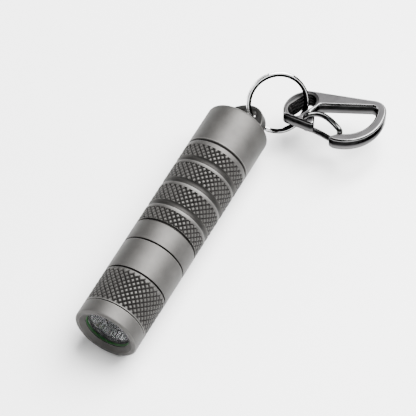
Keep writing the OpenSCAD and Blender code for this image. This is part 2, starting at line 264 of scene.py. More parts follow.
def reflector_mirror():
    """Vacuum-coated bowl: flutes run from its throat to its mouth, and its colour is painted darker towards
    the throat, as painted shade.
    """
    flutes = 40
    n = Nodes("reflector_mirror")
    n.put("Metallic", 1.0)
    bright = n.blend(n.spread(n.noise(500, 3), 0, 1), (0.78, 0.77, 0.80), (0.88, 0.88, 0.90))
    # painted shade: the bowl goes dark towards its throat
    n.colour(n.blend(n.relief(-0.10, -0.50), bright, (0.07, 0.065, 0.075)))
    n.rough(n.spread(n.noise(1200, 2), 0.10, 0.18))
    split = n.add("ShaderNodeSeparateXYZ")
    n.link(n.place, split.inputs["Vector"])
    around = n.calc("ARCTAN2", split.outputs["X"], split.outputs["Z"])
    n.bump(n.calc("SINE", n.calc("MULTIPLY", around, flutes), 0), 0.6, 0.06)
    return n.material


def coated_glass():
    """Clear window with a faint violet coating and a few specks of dust."""
    n = Nodes("coated_glass")
    n.put("IOR", 1.45)
    n.put("Specular Tint", (0.80, 0.72, 1.0, 1))
    dust = n.spread(n.noise(2600, 2), 0, 1, 0.68, 0.80)
    n.colour(n.blend(dust, (0.80, 0.83, 0.84), (0.95, 0.95, 0.93)))
    n.link(n.spread(dust, 0.035, 0.10, 0, 1), n.shader.inputs["Alpha"])
    n.rough(n.spread(n.noise(800, 2), 0.02, 0.06))
    return n.material


def plain_material(name, first, second, low=0.45, high=0.65, metallic=0.0):
    """Rubber, plastic, board, film or small metal parts: two close tints, uneven gloss and a fine bump."""
    n = Nodes(name)
    n.put("Metallic", metallic)
    n.colour(n.blend(n.spread(n.noise(900, 3), 0, 1), first, second))
    n.rough(n.spread(n.noise(2070, 3, 0.6), low, high))
    n.bump(n.noise(2500, 3, 0.55), 0.12, 0.015)
    return n.material


TITANIUM = blasted_titanium()
# a darker copy of the blasted titanium for the key tab's faces: painted shade
SHADED_TITANIUM = blasted_titanium("shaded_titanium", (0.022, 0.022, 0.0215), (0.034, 0.033, 0.032))
STEEL = polished_steel()
SATIN = satin_nickel()
# the near-black tints of the clip's walls and eye wall are painted shade as well as polished black plating
GLOSS = gloss_nickel("gloss_nickel", (0.005, 0.005, 0.005), (0.014, 0.014, 0.014))
RIDGED = gloss_nickel("ridged_nickel", (0.010, 0.010, 0.010), (0.022, 0.022, 0.022),
                      wear_and_sheen=(0.055, 0.054, 0.055), gloss=(0.2, 0.35), ridge=0.7)
GATE = gloss_nickel("gate_nickel", (0.035, 0.035, 0.035), (0.085, 0.085, 0.085), gloss=(0.06, 0.14))
MIRROR = reflector_mirror()
GLASS = coated_glass()
GASKET = plain_material("green_silicone", (0.006, 0.065, 0.008), (0.011, 0.095, 0.013), 0.35, 0.5)
RUBBER = plain_material("greased_rubber", (0.012, 0.012, 0.012), (0.025, 0.025, 0.024), 0.22, 0.4)
PLASTIC = plain_material("white_plastic", (0.72, 0.72, 0.70), (0.80, 0.80, 0.78))
PHOSPHOR = plain_material("phosphor", (0.72, 0.52, 0.06), (0.82, 0.64, 0.12), 0.15, 0.3)
BOARD_WHITE = plain_material("white_solder_mask", (0.66, 0.67, 0.66), (0.74, 0.75, 0.74), 0.25, 0.4)
BOARD_GREEN = plain_material("green_solder_mask", (0.010, 0.09, 0.030), (0.018, 0.14, 0.045), 0.2, 0.35)
RED_LEAD = plain_material("red_silicone", (0.45, 0.015, 0.012), (0.55, 0.03, 0.02))
BLACK_LEAD = plain_material("black_silicone", (0.012, 0.012, 0.012), (0.03, 0.03, 0.03))
BRASS = plain_material("turned_brass", (0.60, 0.42, 0.16), (0.70, 0.52, 0.22), 0.2, 0.38, metallic=1.0)
GOLD = plain_material("gold_plate", (0.85, 0.58, 0.20), (0.92, 0.68, 0.28), 0.14, 0.3, metallic=1.0)
CELL_CAN = plain_material("nickel_can", (0.55, 0.55, 0.54), (0.64, 0.64, 0.62), 0.2, 0.36, metallic=1.0)
CELL_WRAP = plain_material("white_shrink_film", (0.78, 0.78, 0.77), (0.86, 0.86, 0.85), 0.18, 0.32)
SOCKET = plain_material("pressed_steel", (0.38, 0.38, 0.38), (0.48, 0.48, 0.47), 0.22, 0.4, metallic=1.0)

# ---------------------------------------------------------------- meshes


def finish_mesh(name, verts, faces, relief, materials, body, nodes, sharp=40, flat_caps=True,
                face_slots=None):
    """Makes a closed mesh in millimetres into a piece that rides on a body and stands for CAD nodes.

    Edges over sharp degrees are shaded sharp. flat_caps keeps large faces flat beside small round ones."""
    mesh = bpy.data.meshes.new(name)
    mesh.from_pydata([Vector(v) * MM for v in verts], [], faces)
    for material in materials:
        mesh.materials.append(material)
    if face_slots:
        mesh.polygons.foreach_set("material_index", face_slots)
    marks = mesh.attributes.new("relief", "FLOAT", "POINT")
    marks.data.foreach_set("value", relief)
    work = bmesh.new()
    work.from_mesh(mesh)
    bmesh.ops.recalc_face_normals(work, faces=work.faces)
    work.to_mesh(mesh)
    work.free()
    mesh.polygons.foreach_set("use_smooth", [True] * len(mesh.polygons))
    mesh.set_sharp_from_angle(angle=math.radians(sharp))
    piece = bpy.data.objects.new(name, mesh)
    bpy.context.scene.collection.objects.link(piece)
    if flat_caps:
        weighted = piece.modifiers.new("weighted", "WEIGHTED_NORMAL")
        weighted.keep_sharp = True
    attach(piece, body)
    if nodes:
        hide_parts(*nodes)
    return piece


def round_corners(points, steps=4):
    """A closed outline of (a, b, fillet) corners as (a, b, relief) points, each corner cut by its fillet.

    Where the outline runs clockwise in (a, b), relief is 1 in the middle of a sharp outer corner and -1 in
    the middle of an inner one. It is less on fillets over sharp_fillet."""
    sharp_fillet, longest_cut = 0.3, 0.45  # the longest cut is a share of the side that it cuts into
    out = []
    for i, (a, b, fillet) in enumerate(points):
        here = Vector((a, b))
        before, after = Vector(points[i - 1][:2]), Vector(points[(i + 1) % len(points)][:2])
        come, go = here - before, after - here
        if not fillet or min(come.length, go.length) < 1e-6:
            out.append((a, b, 0.0))
            continue
        turn = come.angle_signed(go)
        reach = min(fillet * math.tan(abs(turn) / 2), come.length * longest_cut, go.length * longest_cut)
        start, end = here - come.normalized() * reach, here + go.normalized() * reach
        # outer corners get wear and a painted highlight, inner ones dust and painted shade
        side = math.copysign(min(1, sharp_fillet / fillet), turn)
        for k in range(steps + 1):
            t = k / steps
            p = start * (1 - t) ** 2 + here * 2 * t * (1 - t) + end * t * t
            out.append((p.x, p.y, side * math.sin(math.pi * t)))
    return out


def join_rings(a, b, height):
    """Faces between two rings of vertex numbers, which may have different counts.

    height is each vertex's radius. A face that isn't level is cut along its more level diagonal, so that
    ridges and cuts stay straight."""
    if len(a) == 1 and len(b) == 1:
        return []
    if len(a) == 1 or len(b) == 1:
        tip, ring = (a, b) if len(a) == 1 else (b, a)
        return [(tip[0], ring[i], ring[(i + 1) % len(ring)]) for i in range(len(ring))]
    if len(a) != len(b):
        return zip_rings(a, b)
    faces = []
    for i in range(len(a)):
        j = (i + 1) % len(a)
        corner = (a[i], a[j], b[j], b[i])
        h = [height[c] for c in corner]
        if h[0] == h[1] == h[2] == h[3]:
            faces.append(corner)
            continue
        along, across = (abs(h[0] - h[2]), -h[0] - h[2]), (abs(h[1] - h[3]), -h[1] - h[3])
        if (round(along[0], 4), -along[1]) <= (round(across[0], 4), -across[1]):
            faces += [(corner[0], corner[1], corner[2]), (corner[0], corner[2], corner[3])]
        else:
            faces += [(corner[1], corner[2], corner[3]), (corner[1], corner[3], corner[0])]
    return faces


def zip_rings(a, b):
    """Triangles between two rings with different numbers of points."""
    faces, i, j = [], 0, 0
    while i < len(a) or j < len(b):
        if j == len(b) or (i < len(a) and (i + 1) / len(a) <= (j + 1) / len(b)):
            faces.append((a[i], a[(i + 1) % len(a)], b[j % len(b)]))
            i += 1
        else:
            faces.append((a[i % len(a)], b[(j + 1) % len(b)], b[j]))
            j += 1
    return faces


def revolve(rows):
    """The vertices, faces and relief of a turned piece, whose last row joins its first.

    A row is (place on the axis, radius, count, relief). Radius and relief may be functions of the angle."""
    verts, relief, rings = [], [], []
    for y, radius, count, mark in rows:
        count = 1 if radius == 0 else count
        ring = []
        for i in range(count):
            angle = TAU * i / count
            r = radius(angle) if callable(radius) else radius
            ring.append(len(verts))
            verts.append((r * math.cos(angle), y, r * math.sin(angle)))
            relief.append(mark(angle) if callable(mark) else mark)
        rings.append(ring)
    height = [round(math.hypot(x, z), 5) for x, _, z in verts]
    faces = []
    for a, b in zip(rings, rings[1:] + rings[:1]):
        faces += join_rings(a, b, height)
    return verts, faces, relief


def turned_rows(outline, steps=4):
    """Rows for revolve from (place, radius, fillet) corners."""
    return [(y, r, COARSE, mark) for y, r, mark in round_corners(outline, steps)]


def cut_share(angle, y):
    """How deep the crossed knurling is cut at a point: 0 on a flat top, 1 at the bottom of a cut."""
    turn, along = angle * KNURL_STARTS / TAU, y / KNURL_PITCH
    deep = 0.0
    for lane in (turn + along, turn - along):
        deep = max(deep, 1 - abs(lane - round(lane)) / KNURL_FLANK)
    return deep


def knurl_rows(start, end):
    """Rows of a knurled band. They lie on one grid, so that the cuts run through its points."""
    step = KNURL_PITCH / KNURL_STEPS
    first, last = math.ceil(start / step), math.floor(end / step)
    rows = []
    for k in range(first, last + 1):
        y = k * step
        rows.append((
            y,
            lambda angle, y=y: BARREL - KNURL_DEPTH * cut_share(angle, y),
            FINE,
            # the cuts are darkened: dust and painted shade
            lambda angle, y=y: -cut_share(angle, y),
        ))
    return rows


def plain_rows(points):
    """Rows of a plain turned surface from (place, radius, relief) points."""
    return [(y, r, COARSE, mark) for y, r, mark in points]


def thread_rows(start, end, runout=0.8):
    """Rows of a right-handed screw thread that fades out at both ends."""
    rows_a_turn = 8
    tall, slope = 1.6, 4.4  # a tooth's height and flanks, before its crest and root are cut flat
    rows = []
    count = int(round((end - start) * rows_a_turn / THREAD_PITCH))
    for k in range(count + 1):
        y = start + (end - start) * k / count
        fade = min(1, (y - start) / runout, (end - y) / runout)

        def profile(angle, y=y, fade=fade):
            phase = (y / THREAD_PITCH + angle / TAU) % 1
            tooth = min(1.0, max(0.0, tall - abs(phase - 0.5) * slope))
            return fade * (1 - tooth)

        rows.append((
            y,
            lambda angle, p=profile: THREAD_R - THREAD_DEPTH * p(angle),
            COARSE,
            lambda angle, p=profile: -0.6 * p(angle),
        ))
    return rows


def cove_rows(centre, width, depth, steps=14):
    """Rows of a turned groove with a round bottom: it is darkened with dust and painted shade, and its lips
    are brightened with a painted highlight.
    """
    fullness = 0.6  # 0.5 is an ellipse, and 1 a parabola
    rows = []
    for k in range(steps + 1):
        across = 2 * k / steps - 1
        deep = (1 - across * across) ** fullness
        # bright lips are a painted highlight; the dark bottom is dust and painted shade
        mark = 0.5 if abs(across) == 1 else -0.8 * deep
        rows.append((centre + across * width / 2, BARREL - depth * deep, COARSE, mark))
    return rows


def darken(rows, *spans):
    """The rows, with an open seam darkened by dust and painted shade inside spans along the axis, wherever it
    can be seen.
    """
    hidden, surface = 7.9, BARREL - 0.01
    out = []
    for y, r, count, mark in rows:
        plain = not callable(r) and hidden < r < surface
        inside = plain and any(low <= y <= high for low, high in spans)
        out.append((y, r, count, DUST_AND_SHADE if inside else mark))
    return out


# ---------------------------------------------------------------- head


def make_head_shell():
    """The knurled head with its optic bore, the shelf behind the LED board and the driver bay."""
    groove_start, groove_end, groove_r = -5.03, -4.43, 8.3
    shelf_start, shelf_end = -10, -8.4
    front, optics_end, driver_bay_end = BEZEL_SEAM + SEAM_GAP, -12.3, -4.3
    rows = turned_rows([
        (groove_start - 0.17, BARREL, 0), (groove_start, BARREL, 0.06), (groove_start + 0.06, groove_r, 0.16),
        (groove_end - 0.06, groove_r, 0.16), (groove_end, BARREL, 0.06),
        (HEAD_SEAM - 0.3, BARREL, 0.2), (HEAD_SEAM, BARREL - 0.29, 0.1), (HEAD_SEAM, BORE, 0.08),
        (driver_bay_end, BORE, 0.1), (driver_bay_end, CHAMBER, 0.05),
        (shelf_end, CHAMBER, 0.1), (shelf_end, 0, 0), (shelf_start, 0, 0), (shelf_start, CHAMBER, 0.1),
        (optics_end, CHAMBER, 0.05), (optics_end, BEZEL_BORE, 0.05),
        (front, BEZEL_BORE, 0.06), (front, 8.5, 0.1), (front + 0.2, BARREL, 0.16), (front + 0.42, BARREL, 0),
    ])
    rows += knurl_rows(-15.1, -5.65)
    groove = (groove_start + 0.04, groove_end - 0.04)
    seams = (HEAD_SEAM - 0.26, HEAD_SEAM + 0.02), (front - 0.02, front + 0.14)
    verts, faces, relief = revolve(darken(rows, groove, *seams))
    finish_mesh("head_shell_knurled", verts, faces, relief, [TITANIUM], "head", ["head_shell"],
                sharp=32, flat_caps=False)


def make_bezel():
    """The screwed front ring: rounded rim, dished lip and plain neck."""
    neck_r, neck_end, window_r, lip = BEZEL_BORE - 0.05, -12.4, 6.2, FRONT + 1.25
    rows = turned_rows([
        (FRONT, 7.6, 0.12), (FRONT, BARREL, 0.7),
        (BEZEL_SEAM - 0.2, BARREL, 0.16), (BEZEL_SEAM, BARREL - 0.2, 0.1), (BEZEL_SEAM, neck_r, 0.05),
        (neck_end, neck_r, 0.1), (neck_end, CHAMBER, 0.1),
        (lip, CHAMBER, 0.03), (lip, window_r, 0.08), (FRONT + 0.9, window_r, 0.1),
    ], 6)
    verts, faces, relief = revolve(darken(rows, (BEZEL_SEAM - 0.14, BEZEL_SEAM + 0.06)))
    finish_mesh("bezel_turned", verts, faces, relief, [TITANIUM], "head", ["bezel_ring"])


def make_optics():
    """Gasket, window and reflector bowl, from the front."""
    loose = CHAMBER - 0.1  # the glass and its gasket lie in the bezel with a little play
    start, end, inner, edge = -18.64, -18.07, 6.03, 0.18
    corners = [(start, inner, edge), (start, loose, edge), (end, loose, edge), (end, inner, edge)]
    verts, faces, relief = revolve(turned_rows(corners, 6))
    finish_mesh("gasket", verts, faces, relief, [GASKET], "head", ["lens_gasket"])

    start, end = -18.05, -16.87
    rows = turned_rows([(end, 0, 0), (start, 0, 0), (start, loose, 0.12), (end, loose, 0.12)])
    verts, faces, relief = revolve(rows)
    finish_mesh("window", verts, faces, relief, [GLASS], "head", ["front_glass"])

    mouth_y, end_y, mouth, throat, flange = -16.84, -12.3, 5.83, 2.3, 6.8
    steps = 24
    bowl = []
    for k in range(steps + 1):
        s = k / steps
        bowl.append((end_y + (mouth_y - end_y) * s, throat + (mouth - throat) * math.sqrt(s), 0))
    corners = bowl + [(mouth_y, flange, 0.1), (-15.85, flange, 0.1), (-15.25, 6.2, 0.2), (end_y, 4.2, 0.1)]
    verts, faces, _ = revolve(turned_rows(corners))
    relief = [max(-1, min(0, (mouth_y - y) / (end_y - mouth_y))) for _, y, _ in verts]  # -1 at the throat: painted shade deep in the bowl
    finish_mesh("reflector_bowl", verts, faces, relief, [MIRROR], "head", ["reflector"])


make_head_shell()
make_bezel()
make_optics()

# ---------------------------------------------------------------- tube


def seal_groove(start):
    """Rows of the groove that holds a seal, darker at its bottom and brighter on its lips."""
    lip, end = 0.06, start + 0.68
    return plain_rows((
        (start - lip, THREAD_R, 0), (start, THREAD_R - 0.05, 0.5), (start, SEAL_R, -0.6),
        (end, SEAL_R, -0.6), (end, THREAD_R - 0.05, 0.5), (end + lip, THREAD_R, 0),
    ))


def fine_groove(centre):
    """Rows of the fine groove ahead of the first knurled band: lips brightened with a painted highlight, and
    a bottom darkened with dust and painted shade.
    """
    half = ((0.40, 0, 0.2), (0.35, 0.05, 0.9), (0.28, 0.41, DUST_AND_SHADE))
    before = [(centre - away, BARREL - deep, mark) for away, deep, mark in half]
    after = [(centre + away, BARREL - deep, mark) for away, deep, mark in half]
    return plain_rows(before + after[::-1])


def make_tube():
    """The body tube: plain neck and thread at each end, and four knurled bands between turned coves."""
    front, end, bore = -3.24, 44.04, 7.2
    smooth_start, smooth_end = HEAD_SEAM + SEAM_GAP, 38.5
    head_seal, tail_seal = 2.92, 40.0
    bands = ((11.8, 15.5), (18.16, 23.25), (26.03, 30.97), (33.54, 37.34))
    coves, cove_width, cove_depth = (17.3, 25.1, 32.66), 1.75, 0.62

    rows = plain_rows((
        (end, bore, 0), (front, bore, 0), (front, 7.7, 0), (front + 0.14, THREAD_R - 0.1, 0.4),
    ))
    rows += thread_rows(-3.0, 2.5)
    rows += seal_groove(head_seal)
    # the head seam: dust and painted shade in it, a painted highlight on its lip
    rows += plain_rows((
        (smooth_start - 0.1, THREAD_R, 0), (smooth_start, 8.02, DUST_AND_SHADE), (smooth_start, 8.46, DUST_AND_SHADE),
        (smooth_start + 0.18, 8.65, -1.1), (smooth_start + 0.28, 8.74, 0.1),
        (smooth_start + 0.36, BARREL, 0.1),
    ))
    rows += fine_groove(11.24)
    for (start, stop), cove in zip(bands, coves):
        rows += knurl_rows(start, stop)
        rows += plain_rows([(stop + 0.12, BARREL, 0)])
        rows += cove_rows(cove, cove_width, cove_depth)
    rows += knurl_rows(*bands[-1])
    # the tail seam: a painted highlight on its lip, dust and painted shade in it
    rows += plain_rows((
        (bands[-1][1] + 0.14, BARREL, 0), (smooth_end, BARREL, 0.3),
        (smooth_end + 0.1, 8.73, -0.2), (smooth_end + 0.22, 8.67, -1.1),
        (TAIL_SEAM, 8.46, DUST_AND_SHADE), (TAIL_SEAM, 8.02, DUST_AND_SHADE), (TAIL_SEAM + 0.06, THREAD_R, 0),
    ))
    rows += seal_groove(tail_seal)
    rows += thread_rows(40.9, 43.85, runout=0.5)
    rows += plain_rows(((end - 0.09, THREAD_R - 0.1, 0.4), (end, 7.7, 0)))
    verts, faces, relief = revolve(rows)
    finish_mesh("body_tube_knurled", verts, faces, relief, [TITANIUM], "tube", ["body_tube"],
                sharp=32, flat_caps=False)


make_tube()

# ---------------------------------------------------------------- flat plates with rounded edges


def arc(centre, r, start, end, steps):
    """Points on an arc, in degrees, both ends included."""
    out = []
    for k in range(steps + 1):
        a = math.radians(start + (end - start) * k / steps)
        out.append((centre[0] + r * math.cos(a), centre[1] + r * math.sin(a)))
    return out


def inset(loop, distances):
    """The loop moved to its left, each corner by its own distance."""
    sharpest = 0.5  # a sharper corner than this moves less, so that it can't shoot out
    out = []
    for i in range(len(loop)):
        here, before, after = Vector(loop[i]), Vector(loop[i - 1]), Vector(loop[(i + 1) % len(loop)])
        come, go = (here - before).normalized(), (after - here).normalized()
        left = Vector((-come.y - go.y, come.x + go.x))
        left = left.normalized() if left.length > 1e-6 else Vector((-come.y, come.x))
        stretch = max(sharpest, left.dot(Vector((-go.y, go.x))))
        out.append(tuple(here + left * (distances[i] / stretch)))
    return out


def area(loop):
    """The area inside a loop, above 0 where it runs anticlockwise."""
    return sum(a[0] * b[1] - b[0] * a[1] for a, b in zip(loop, loop[1:] + loop[:1])) / 2


SHEEN_TOP, SHEEN_END = 0.10, -0.20  # heights where the painted reflection on a wall's lower half starts and is full, as shares of the thickness


def plate(loops, thickness, wall_slots=(0, 0, 0), face_slot=0, wall_sheen=0.0):
    """A flat plate as vertices, faces, relief and material slots.

    loops is the outline and then its holes, each as (points, edge sizes, edge steps, lower points). One step
    gives a chamfer and more give a rounded edge, with one size or a size for each point. The lower points say
    where a leaning wall ends, or are None. Rounded edges and the top of a chamfer are marked for wear and a
    painted highlight, and the last argument is how bright the lower half of an upright wall is painted, as a
    painted reflection.
    face_slot is the material slot of the two faces and of every loop's rims, and wall_slots has a slot for
    each loop's wall."""
    verts, relief, faces, slots = [], [], [], []
    tops, bottoms = [], []

    def add_ring(loop, heights, marks):
        ring = list(range(len(verts), len(verts) + len(loop)))
        verts.extend((x, y, z) for (x, y), z in zip(loop, heights))
        relief.extend(marks)
        return ring

    for index, (points, size, steps, lower) in enumerate(loops):
        flip = (area(points) > 0) != (index == 0)
        sizes = [size] * len(points) if isinstance(size, float) else size
        sizes = sizes[::-1] if flip else sizes
        rings = []
        for side in (1, -1):
            loop = points if side > 0 or lower is None else lower
            loop = loop[::-1] if flip else loop
            for k in range(steps, -1, -1) if side > 0 else range(steps + 1):
                turn = math.pi / 2 * k / steps
                if steps > 1:
                    shift, drop = 1 - math.cos(turn), 1 - math.sin(turn)
                    # rounded edges: wear and a painted highlight; the lower half of an upright wall: a
                    # painted reflection
                    wear_and_sheen = max(math.sin(2 * turn), wall_sheen * (side < 0))
                else:
                    shift, drop = k, 1 - k
                    # the top of a chamfer: wear and a painted highlight
                    wear_and_sheen = 0.6 * (side > 0) * (1 - k)
                heights = [side * (thickness / 2 - drop * edge) for edge in sizes]
                ring = inset(loop, [shift * edge for edge in sizes])
                rings.append(add_ring(ring, heights, [wear_and_sheen] * len(loop)))
            # a painted reflection on the lower half of an upright wall
            if side > 0 and lower is None and wall_sheen:
                for height, mark in ((SHEEN_TOP, 0.0), (SHEEN_END, wall_sheen)):
                    rings.append(add_ring(loop, [height * thickness] * len(loop), [mark] * len(loop)))
        for low, high in zip(rings, rings[1:]):
            for i in range(len(low)):
                j = (i + 1) % len(low)
                faces.append((low[i], high[i], high[j], low[j]))
            on_rim = low is rings[0] or high is rings[-1]
            slots += [face_slot if on_rim else wall_slots[index]] * len(low)
        tops.append(rings[0])
        bottoms.append(rings[-1])
    for caps in (tops, bottoms):
        flat = [[Vector((*verts[i][:2], 0)) for i in ring] for ring in caps]
        numbers = [i for ring in caps for i in ring]
        for tri in geometry.tessellate_polygon(flat):
            faces.append(tuple(numbers[i] for i in tri))
            slots.append(face_slot)
    return verts, faces, relief, slots


def moved(verts, matrix):
    """The vertices, in millimetres, after a turn and a shift."""
    return [tuple(matrix @ Vector(v)) for v in verts]


# ---------------------------------------------------------------- tail cap


def apply_modifiers(piece):
    """Turns a piece's modifiers into its mesh."""
    graph = bpy.context.evaluated_depsgraph_get()
    graph.update()
    made = bpy.data.meshes.new_from_object(piece.evaluated_get(graph), depsgraph=graph)
    piece.modifiers.clear()
    piece.data = made


def make_tail_cap():
    """The smooth cap, with the arched key tab joined to its end."""
    start, thread_end, chamber_end = TAIL_SEAM + SEAM_GAP, 44.44, 48.49
    rows = turned_rows([
        (CAP_END, 0, 0), (chamber_end, 0, 0), (chamber_end, CHAMBER, 0.1), (thread_end, CHAMBER, 0.05),
        (thread_end, BORE, 0.1), (start, BORE, 0.08), (start, BARREL - 0.25, 0.1), (start + 0.5, BARREL, 0.3),
        (CAP_END, BARREL, 1.15),
    ], 6)
    verts, faces, relief = revolve(darken(rows, (TAIL_SEAM - 0.04, TAIL_SEAM + 0.41)))
    cap = finish_mesh("tail_cap_turned", verts, faces, relief, [TITANIUM, SHADED_TITANIUM], "tail",
                      ["tail_cap"])

    tab_r, tab_t, tab_base, tab_lean = 7.8, 2.5, CAP_END - 0.9, -27.3
    slot_r, slot_half, slot_y = 2.15, 2, tab_base + 3.95
    outline = arc((0, tab_base), tab_r, 0, 180, 64) + [(-tab_r, tab_base - 1.3), (tab_r, tab_base - 1.3)]
    hole = arc((slot_half, slot_y), slot_r, -90, 90, 20) + arc((-slot_half, slot_y), slot_r, 90, 270, 20)
    verts, faces, relief, slots = plate([(outline, 0.32, 4, None), (hole, 0.28, 4, None)], tab_t, face_slot=1)
    lean = Matrix.Rotation(math.radians(tab_lean), 4, "Y")
    tab = finish_mesh("key_tab_tool", moved(verts, lean), faces, relief, [TITANIUM, SHADED_TITANIUM], "tail",
                      None, face_slots=slots)

    for piece in (cap, tab):
        piece.modifiers.clear()
    join = cap.modifiers.new("join", "BOOLEAN")
    join.operation, join.solver, join.object = "UNION", "EXACT", tab
    apply_modifiers(cap)
    bpy.data.objects.remove(tab)
    cap.data.polygons.foreach_set("use_smooth", [True] * len(cap.data.polygons))
    cap.data.set_sharp_from_angle(angle=math.radians(32))
    cap.modifiers.new("weighted", "WEIGHTED_NORMAL").keep_sharp = True


make_tail_cap()

# ---------------------------------------------------------------- wires


def sweep(path, section):
    """A closed tube as vertices and faces.

    section is a list of (side, up) points, and path is a list of (point, side vector, up vector)."""
    verts, faces = [], []
    count = len(section)
    for point, side, up in path:
        for s, u in section:
            verts.append(tuple(Vector(point) + Vector(side) * s + Vector(up) * u))
    for i in range(len(path) - 1):
        for k in range(count):
            n = (k + 1) % count
            faces.append((i * count + k, i * count + n, (i + 1) * count + n, (i + 1) * count + k))
    faces.append(tuple(range(count)))
    last = (len(path) - 1) * count
    faces.append(tuple(range(last, last + count)))
    return verts, faces


def share(value):
    """value, kept between 0 and 1."""
    return min(1, max(0, value))


def painted_wire_shade(angle, side):
    """How dark the painted shade is at a place on the wire, from 0 to 1.

    side is the distance outwards from the wire's middle. The inner side of the wire is dark except round one
    short stretch of the coil, and the outer side is dark round one half of it."""
    edge, edge_fade, end_fade = 0.2, 10, 3
    # the middle and size of the lit stretch on the inner side, and the middle of the shaded outer half
    lit_middle, lit_size, outer_middle = math.radians(310), 0.92, math.radians(55)
    inner = share(end_fade * (lit_size - math.cos(angle - lit_middle)))
    outer = share(end_fade * math.cos(angle - outer_middle))
    return share(edge_fade * max((edge - side) * inner, (side - edge) * outer))


def make_split_ring():
    """Flat wire wound twice round.

    It climbs from the lower turn to the upper one in the gap between its two ends."""
    centre, axis = Vector((6.55, 61.28, 3.47)), Vector((0.525, -0.6, 0.604)).normalized()
    tip, turn = math.acos(axis.z), math.atan2(axis.y, axis.x)
    place = Matrix.Rotation(turn, 3, "Z") @ Matrix.Rotation(tip, 3, "Y")
    middle, width, height = 7.77, 1.2, 0.70
    level = 0.355  # of each turn's middle, above and below the coil's
    gap_middle, gap_half = 346.0, 18.0
    round_edge, flat = 0.24, 0.2
    section = []
    for cx, cy, start in ((1, 1, 0), (-1, 1, 90), (-1, -1, 180), (1, -1, 270)):
        corner = (cx * (width / 2 - round_edge), cy * (height / 2 - round_edge))
        section += arc(corner, round_edge, start, start + 90, 4)
        if cx == cy:
            section += [(cx * side, cy * height / 2) for side in (flat, 0, -flat)]
    path, relief = [], []
    total = 720 - 2 * gap_half
    steps, end_steps, end_taper = 300, 2, 0.25
    for k in range(steps + 1):
        swept = gap_half + total * k / steps
        climb = share((swept - (360 - gap_half)) / (2 * gap_half))
        climb = climb * climb * (3 - 2 * climb)
        angle = math.radians(gap_middle + swept)
        out = Vector((math.cos(angle), math.sin(angle), 0))
        taper = 1 - end_taper * max(0, 1 - min(k, steps - k) / end_steps)
        path.append((centre + place @ (out * middle + Vector((0, 0, level * (2 * climb - 1)))),
                     place @ out * taper, place @ Vector((0, 0, 1)) * taper))
        # the relief carries the painted shade on the wire
        relief += [-painted_wire_shade(angle, side) for side, _ in section]
    verts, faces = sweep(path, section)
    finish_mesh("split_ring_wire", verts, faces, relief, [STEEL], "ring", ["split_ring"])


make_split_ring()

# ---------------------------------------------------------------- snap clip

# Places on the clip are seen from its pivot on the ring, with X along the clip as it lies.
CLIP_PLACE = Matrix.Translation((13.05, 65.07, 1.25)) @ Matrix.Rotation(math.radians(18), 4, "Z")
CLIP_T = 4.3
BOW = (10.0, 0.4)
BOW_OUT, BOW_IN = 11.2, 8.7
NOSE = -100.0  # where the bow ends, in degrees
EYE, EYE_TURN, EYE_HALF, EYE_R = (-0.95, -0.75), math.radians(48.2), 2.2, 2.15
EYE_LEAN = 0.9  # how far the eye's far wall leans in
EYE_CHAMFER = 0.55
GATE_PIVOT, GATE_BAR = (0.6, -5.0), (10.1, -8.1)
GATE_ARCH = ((3.8, -3.1), (5.9, -3.6))  # pulls the upper leg up
GATE_SAG = ((3.2, -4.4), (6.6, -6.9))  # pulls the lower leg down
GATE_R = 0.75
GATE_BEND = 0.85
GATE_LEG = 2.96  # height of each leg above or below the middle of the plate
GATE_PIN = 2.2  # length of each leg's end, bent into the plate
ROUND_WIRE = 24  # sides of the gate's wire


def clip_outline():
    """The clip's outline: eye end, straight spine, bow, open nose and gate notch."""
    nose, reach = math.radians(NOSE), BOW_OUT - 0.9
    tip = (BOW[0] + reach * math.cos(nose), BOW[1] + reach * math.sin(nose))
    outer_corner, inner_corner = 3.3, 1.3
    return (
        arc((0.85, -2.8), 6.5, 180, 92, 26)  # eye end, up to the spine
        + arc((BOW[0] + BOW_OUT - outer_corner, BOW[1]), outer_corner, 90, 4, 18)
        + arc(BOW, BOW_OUT, 0, NOSE + 3, 60)
        + arc(tip, 0.7, -100, -190, 8)  # round the nose, and back along the inside
        + arc(BOW, BOW_IN, NOSE + 8, 0, 54)
        + arc((BOW[0] + BOW_IN - inner_corner, BOW[1]), inner_corner, 6, 90, 14)
        + arc((4.7, -2), 2, 92, 150, 10)  # from the spine down to the gate's block
        + [(1.9, -2.4), (1.6, -3.6), (2.9, -4.2)]
        + arc((2.2, -5.9), 0.8, 10, -100, 10)  # round the block and back under the eye
        + arc((-4.3, -3.75), 1.2, -110, -170, 8)
    )


def gate_leg(pull, z):
    """One leg of the gate at height z, as (point, heading), with its bends into the plate and the bar.

    It runs along a cubic curve from the pivot to the bar, and pull holds the curve's two middle points."""
    a, b, c, d = (Vector(p) for p in (GATE_PIVOT, *pull, GATE_BAR))
    steps, bend_steps, trimmed = 30, 8, 4
    run = []
    for k in range(steps + 1):
        t = k / steps
        u = 1 - t
        place = a * u ** 3 + b * 3 * u * u * t + c * 3 * u * t * t + d * t ** 3
        go = (b - a) * u * u + (c - b) * 2 * u * t + (d - c) * t * t
        run.append((place, go.normalized()))
    side = math.copysign(1, z)
    (start, first), (end, last) = run[0], run[-1]
    turns = [math.pi / 2 * k / bend_steps for k in range(bend_steps + 1)]
    bends = [(1 - math.cos(turn), 1 - math.sin(turn)) for turn in turns]
    leg = [((*start, z - side * GATE_PIN), first)]
    leg += [((*(start + first * GATE_BEND * near), z - side * GATE_BEND * far), first) for near, far in bends]
    leg += [((*place, z), go) for place, go in run[trimmed:-trimmed]]
    leg += [((*(end - last * GATE_BEND * far), z - side * GATE_BEND * near), last) for near, far in bends]
    return leg


